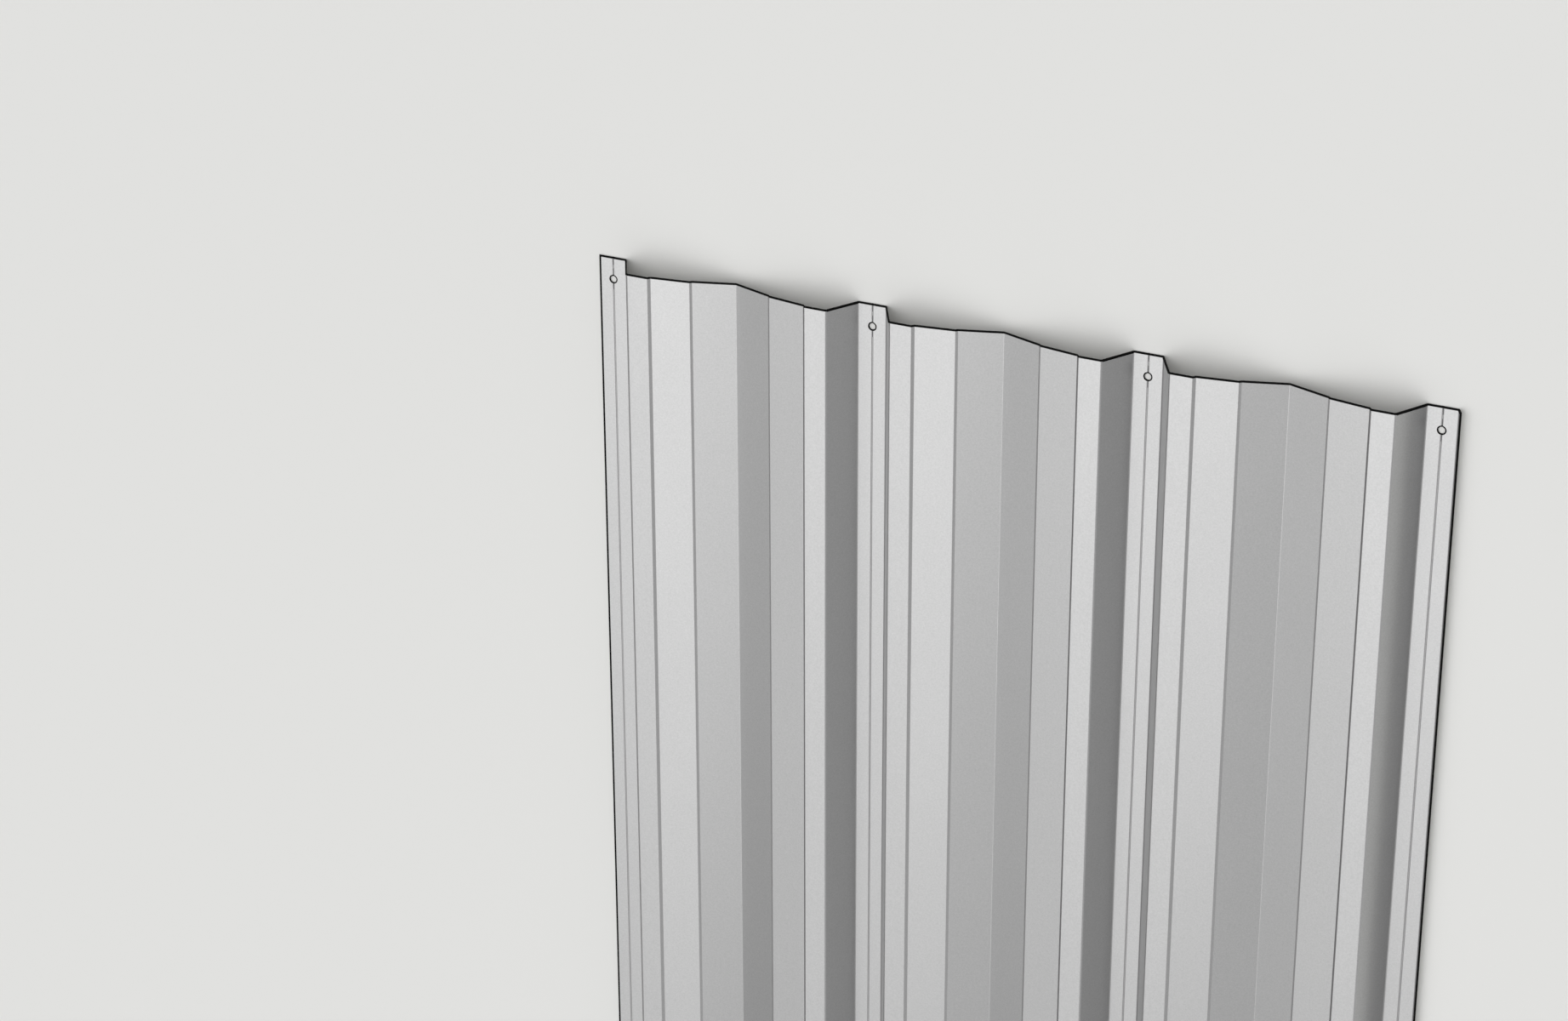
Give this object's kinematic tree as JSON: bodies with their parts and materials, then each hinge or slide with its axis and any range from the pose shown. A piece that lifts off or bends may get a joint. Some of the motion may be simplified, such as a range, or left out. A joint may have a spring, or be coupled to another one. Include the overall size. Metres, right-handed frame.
{
  "type": "metal wall panel",
  "caption": "Roll-formed steel wall panel with deep stepped ribs between narrow grooved screw strips, one lap edge and one tuck edge, lying weather face up.",
  "frame": {"origin": "centre of the panel's plan at floor level, under the lowest line of its strips", "axes": "+X across the ribs from the lap edge to the tuck edge, +Y along the ribs, +Z out of the weather face"},
  "size_m": [0.9518, 2.4384, 0.0377],
  "materials": {
    "coated_steel": "semi-gloss pale grey coil coating on steel sheet"
  },
  "bodies": {
    "root": {"wall_panel_sheet": "coated_steel"}
  },
  "joints": []
}
